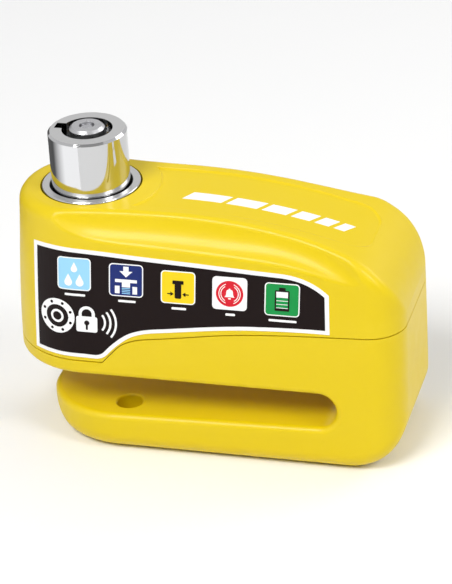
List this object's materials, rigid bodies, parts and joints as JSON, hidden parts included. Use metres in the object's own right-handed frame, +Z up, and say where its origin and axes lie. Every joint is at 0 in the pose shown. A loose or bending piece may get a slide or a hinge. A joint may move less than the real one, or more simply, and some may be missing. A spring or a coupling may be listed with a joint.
{
  "type": "disc brake lock",
  "caption": "Alarm lock whose jaw slides over a motorcycle brake disc; pressing the key cylinder drives a pin across the slot.",
  "frame": {"origin": "centre of the overall box in plan, on the base plane the lock stands on", "axes": "+X along the disc slot towards its closed end, +Y away from the label face, +Z up along the key cylinder"},
  "size_m": [0.0936, 0.038, 0.0738],
  "materials": {
    "yellow_paint": "gloss",
    "label_film": "gloss",
    "chrome": "polished",
    "satin_steel": "satin",
    "dark_rubber": "matte",
    "screw_steel": "satin",
    "hardened_steel": "satin",
    "brass": "satin",
    "cast_zinc": "satin",
    "spring_steel": "satin",
    "board_green": "satin",
    "chip_black": "matte",
    "black_plastic": "matte",
    "ferrite": "matte",
    "capacitor_sleeve": "gloss",
    "ceramic_white": "satin",
    "cell_steel": "polished",
    "contact_nickel": "satin",
    "lead_red": "satin",
    "lead_black": "satin"
  },
  "bodies": {
    "lock_case": {"lower_body": "yellow_paint", "upper_cover": "yellow_paint", "front_label": "label_film", "cover_gasket": "dark_rubber", "base_screws": "screw_steel", "jaw_screws": "screw_steel", "guide_tube": "satin_steel", "cylinder_seal": "dark_rubber", "bezel_ring": "chrome", "pin_guide_bush": "brass", "return_spring": "spring_steel", "circuit_board": "board_green", "board_screws": "screw_steel", "control_chip": "chip_black", "boost_coil": "ferrite", "capacitors": "capacitor_sleeve", "shock_sensor": "black_plastic", "sensor_spring": "spring_steel", "siren_gasket": "dark_rubber", "siren_case": "black_plastic", "siren_diaphragm": "brass", "piezo_element": "ceramic_white", "battery_tray": "black_plastic", "button_cells": "cell_steel", "battery_contacts": "contact_nickel", "arming_switch": "chip_black", "siren_leads": "lead_red", "battery_leads": "lead_red", "switch_leads": "lead_black"},
    "push_cylinder": {"cylinder_barrel": "chrome", "pin_block": "brass", "driver_pins": "brass", "tumbler_springs": "spring_steel", "pin_carrier": "cast_zinc", "carrier_screws": "screw_steel", "locking_pin": "hardened_steel"},
    "key_core": {"key_spindle": "satin_steel", "key_post": "satin_steel", "centre_pin": "hardened_steel", "key_pins": "brass", "drive_cam": "cast_zinc"},
    "latch": {"latch_bolt": "hardened_steel"},
    "switch_button": {"switch_plunger": "ceramic_white"}
  },
  "joints": [
    {"name": "cylinder_push", "type": "slide", "parent": "lock_case", "child": "push_cylinder", "axis": [0, 0, -1], "range_m": [0, 0.0132], "stiffness_N_per_m": 400, "springref_m": -0.004, "deforming": ["return_spring"]},
    {"name": "key_turn", "type": "hinge", "parent": "push_cylinder", "child": "key_core", "pos_m": [-0.02795, 0, 0.07], "axis": [0, 0, 1], "range_deg": [0, 90]},
    {"name": "latch_slide", "type": "slide", "parent": "push_cylinder", "child": "latch", "axis": [-1, 0, 0], "range_m": [0, 0.0022]},
    {"name": "switch_press", "type": "slide", "parent": "lock_case", "child": "switch_button", "axis": [0, 0, -1], "range_m": [0, 0.0008], "stiffness_N_per_m": 300, "springref_m": -0.0006}
  ],
  "couplings": [
    {"joint": "key_turn", "follows": "latch_slide", "rad_per_m": 713.99}
  ]
}
